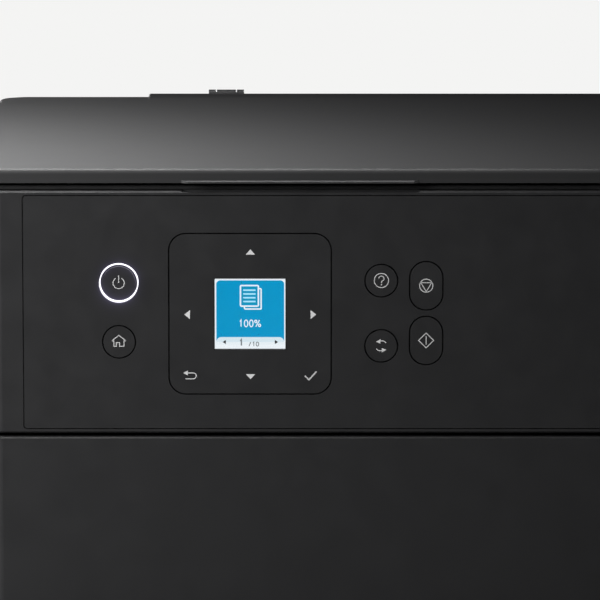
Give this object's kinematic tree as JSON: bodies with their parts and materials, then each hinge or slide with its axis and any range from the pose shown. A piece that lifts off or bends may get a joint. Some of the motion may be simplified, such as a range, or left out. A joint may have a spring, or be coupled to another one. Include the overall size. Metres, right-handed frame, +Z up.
{
  "type": "inkjet printer",
  "caption": "Black all-in-one inkjet printer: lifting scanner lid, tilting control panel with screen and push buttons, fold-out output tray, rear paper feed and moving print carriage.",
  "frame": {"origin": "middle of the footprint, on the surface that the rubber feet stand on", "axes": "+X to the right as seen from the front, +Y to the back, +Z up"},
  "size_m": [0.375, 0.3, 0.17],
  "materials": {
    "case_black": "moulded black ABS with a fine spark-eroded grain",
    "panel_black": "moulded black ABS, finer satin grain",
    "foam_white": "white foam mat with a smooth film face",
    "glass_clear": "clear float glass",
    "steel_zinc": "zinc plated folded steel",
    "steel_ground": "ground steel rod",
    "rubber_black": "moulded black rubber",
    "rubber_grey": "ground grey rubber",
    "acetal_white": "moulded natural acetal",
    "plastic_grey": "moulded dark grey ABS",
    "board_green": "glass-fibre circuit board with solder mask",
    "light_white": "frosted light pipe, lit",
    "screen_clear": "clear acrylic screen window",
    "screen_panel": "lit colour display",
    "felt_white": "pressed felt pad",
    "cartridge_black": "moulded polypropylene cartridge",
    "belt_black": "toothed rubber belt"
  },
  "bodies": {
    "base": {"lower_case": "case_black", "rubber_feet": "rubber_black", "main_chassis": "steel_zinc", "guide_rod": "steel_ground", "platen": "plastic_grey", "star_wheel_bar": "plastic_grey", "waste_ink_pad": "felt_white", "main_board": "board_green", "power_supply": "plastic_grey", "ac_inlet": "plastic_grey", "usb_port": "steel_zinc", "carriage_motor": "steel_zinc", "feed_motor": "steel_zinc", "case_screws": "steel_zinc", "feeder_housing": "case_black", "carriage_belt": "belt_black"},
    "scanner_unit": {"scanner_case": "case_black", "scanner_bezel": "case_black", "scanner_glass": "glass_clear", "scan_rod": "steel_ground"},
    "scan_carriage": {"scan_carriage": "plastic_grey"},
    "lid_unit": {"lid": "case_black", "lid_pad": "foam_white"},
    "panel_unit": {"panel_housing": "panel_black", "face_plate": "panel_black", "panel_back_cover": "case_black", "lcd_module": "screen_panel", "lcd_window": "screen_clear", "panel_board": "board_green", "power_light_ring": "light_white"},
    "power_button": {"power_button": "panel_black"},
    "home_button": {"home_button": "panel_black"},
    "help_button": {"help_button": "panel_black"},
    "swap_button": {"swap_button": "panel_black"},
    "stop_button": {"stop_button": "panel_black"},
    "start_button": {"start_button": "panel_black"},
    "nav_pad": {"nav_pad": "panel_black"},
    "output_tray": {"output_tray": "case_black"},
    "tray_extension": {"tray_extension": "case_black"},
    "tray_flap": {"tray_flap": "panel_black"},
    "drive_pulley": {"drive_pulley": "acetal_white"},
    "idler_pulley": {"idler_pulley": "acetal_white"},
    "idler_gear": {"idler_gear": "acetal_white"},
    "motor_pinion": {"motor_pinion": "acetal_white"},
    "pinch_rollers": {"pinch_rollers": "rubber_grey"},
    "star_wheels": {"star_wheels": "steel_zinc"},
    "pick_roller": {"pick_roller": "rubber_grey"},
    "edge_guide_left": {"edge_guide_left": "plastic_grey"},
    "edge_guide_right": {"edge_guide_right": "plastic_grey"},
    "feeder_cover": {"feeder_cover": "case_black"},
    "paper_support": {"paper_support": "case_black"},
    "rear_cover": {"rear_cover": "case_black"},
    "capping_sled": {"capping_sled": "plastic_grey"},
    "carriage": {"carriage": "plastic_grey", "ink_cartridges": "cartridge_black"},
    "feed_roller": {"feed_roller": "rubber_grey", "feed_gear": "acetal_white"},
    "exit_roller": {"exit_roller": "rubber_grey", "exit_gear": "acetal_white"}
  },
  "joints": [
    {"name": "scanner_lift", "type": "hinge", "parent": "base", "child": "scanner_unit", "pos_m": [0, 0.101, 0.161], "axis": [-1, 0, 0], "range_deg": [0, 30]},
    {"name": "lid_lift", "type": "hinge", "parent": "scanner_unit", "child": "lid_unit", "pos_m": [0, 0.09715, 0.167], "axis": [-1, 0, 0], "range_deg": [0, 75]},
    {"name": "scan_travel", "type": "slide", "parent": "scanner_unit", "child": "scan_carriage", "axis": [1, 0, 0], "range_m": [0, 0.32]},
    {"name": "panel_tilt", "type": "hinge", "parent": "base", "child": "panel_unit", "pos_m": [0, -0.1465, 0.1594], "axis": [-1, 0, 0], "range_deg": [0, 60]},
    {"name": "tray_pull", "type": "slide", "parent": "base", "child": "output_tray", "axis": [0, -1, 0], "range_m": [0, 0.09]},
    {"name": "extension_pull", "type": "slide", "parent": "output_tray", "child": "tray_extension", "axis": [0, -1, 0], "range_m": [0, 0.085]},
    {"name": "flap_fold", "type": "hinge", "parent": "tray_extension", "child": "tray_flap", "pos_m": [0, -0.1432, 0.009], "axis": [1, 0, 0], "range_deg": [0, 90]},
    {"name": "carriage_travel", "type": "slide", "parent": "base", "child": "carriage", "axis": [1, 0, 0], "range_m": [-0.224, 0]},
    {"name": "drive_pulley_spin", "type": "hinge", "parent": "base", "child": "drive_pulley", "pos_m": [0.155, 0.056, 0.096], "axis": [0, 1, 0], "range_deg": [-20, 2200]},
    {"name": "idler_pulley_spin", "type": "hinge", "parent": "base", "child": "idler_pulley", "pos_m": [-0.155, 0.056, 0.096], "axis": [0, 1, 0], "range_deg": [-20, 2200]},
    {"name": "feed_spin", "type": "hinge", "parent": "base", "child": "feed_roller", "pos_m": [0, 0.034, 0.047], "axis": [1, 0, 0], "continuous": true},
    {"name": "exit_spin", "type": "hinge", "parent": "base", "child": "exit_roller", "pos_m": [0, -0.034, 0.047], "axis": [1, 0, 0], "continuous": true},
    {"name": "idler_gear_spin", "type": "hinge", "parent": "base", "child": "idler_gear", "pos_m": [-0.1677, 0, 0.047], "axis": [1, 0, 0], "continuous": true},
    {"name": "pinion_spin", "type": "hinge", "parent": "base", "child": "motor_pinion", "pos_m": [-0.1677, 0.06264, 0.05886], "axis": [1, 0, 0], "continuous": true},
    {"name": "pinch_spin", "type": "hinge", "parent": "base", "child": "pinch_rollers", "pos_m": [0, 0.034, 0.0574], "axis": [1, 0, 0], "continuous": true},
    {"name": "star_spin", "type": "hinge", "parent": "base", "child": "star_wheels", "pos_m": [0, -0.034, 0.0574], "axis": [1, 0, 0], "continuous": true},
    {"name": "pick_spin", "type": "hinge", "parent": "base", "child": "pick_roller", "pos_m": [0, 0.113, 0.1076], "axis": [1, 0, 0], "continuous": true},
    {"name": "guide_left_slide", "type": "slide", "parent": "base", "child": "edge_guide_left", "axis": [1, 0, 0], "range_m": [0, 0.055]},
    {"name": "guide_right_slide", "type": "slide", "parent": "base", "child": "edge_guide_right", "axis": [-1, 0, 0], "range_m": [0, 0.055]},
    {"name": "feeder_cover_fold", "type": "hinge", "parent": "base", "child": "feeder_cover", "pos_m": [0, 0.14, 0.1668], "axis": [-1, 0, 0], "range_deg": [0, 102]},
    {"name": "support_pull", "type": "slide", "parent": "base", "child": "paper_support", "axis": [0, 0.2588, 0.9659], "range_m": [0, 0.075]},
    {"name": "rear_cover_pull", "type": "slide", "parent": "base", "child": "rear_cover", "axis": [0, 1, 0], "range_m": [0, 0.03]},
    {"name": "cap_drop", "type": "slide", "parent": "base", "child": "capping_sled", "axis": [0, 0, -1], "range_m": [0, 0.003], "stiffness_N_per_m": 500, "springref_m": -0.003},
    {"name": "power_button_press", "type": "slide", "parent": "panel_unit", "child": "power_button", "axis": [0, 1, 0], "range_m": [0, 0.0008], "stiffness_N_per_m": 600, "springref_m": -0.0004},
    {"name": "home_button_press", "type": "slide", "parent": "panel_unit", "child": "home_button", "axis": [0, 1, 0], "range_m": [0, 0.0008], "stiffness_N_per_m": 600, "springref_m": -0.0004},
    {"name": "help_button_press", "type": "slide", "parent": "panel_unit", "child": "help_button", "axis": [0, 1, 0], "range_m": [0, 0.0008], "stiffness_N_per_m": 600, "springref_m": -0.0004},
    {"name": "swap_button_press", "type": "slide", "parent": "panel_unit", "child": "swap_button", "axis": [0, 1, 0], "range_m": [0, 0.0008], "stiffness_N_per_m": 600, "springref_m": -0.0004},
    {"name": "stop_button_press", "type": "slide", "parent": "panel_unit", "child": "stop_button", "axis": [0, 1, 0], "range_m": [0, 0.0008], "stiffness_N_per_m": 600, "springref_m": -0.0004},
    {"name": "start_button_press", "type": "slide", "parent": "panel_unit", "child": "start_button", "axis": [0, 1, 0], "range_m": [0, 0.0008], "stiffness_N_per_m": 600, "springref_m": -0.0004},
    {"name": "nav_pad_press", "type": "slide", "parent": "panel_unit", "child": "nav_pad", "axis": [0, 1, 0], "range_m": [0, 0.0008], "stiffness_N_per_m": 600, "springref_m": -0.0004}
  ],
  "couplings": [
    {"joint": "drive_pulley_spin", "follows": "carriage_travel", "rad_per_m": -169.49},
    {"joint": "idler_pulley_spin", "follows": "carriage_travel", "rad_per_m": -169.49},
    {"joint": "exit_spin", "follows": "feed_spin", "ratio": 1},
    {"joint": "idler_gear_spin", "follows": "feed_spin", "ratio": -2.4},
    {"joint": "pinion_spin", "follows": "feed_spin", "ratio": -3.4286},
    {"joint": "pinch_spin", "follows": "feed_spin", "ratio": -1.5},
    {"joint": "star_spin", "follows": "feed_spin", "ratio": -1.5},
    {"joint": "guide_right_slide", "follows": "guide_left_slide", "ratio": 1}
  ]
}
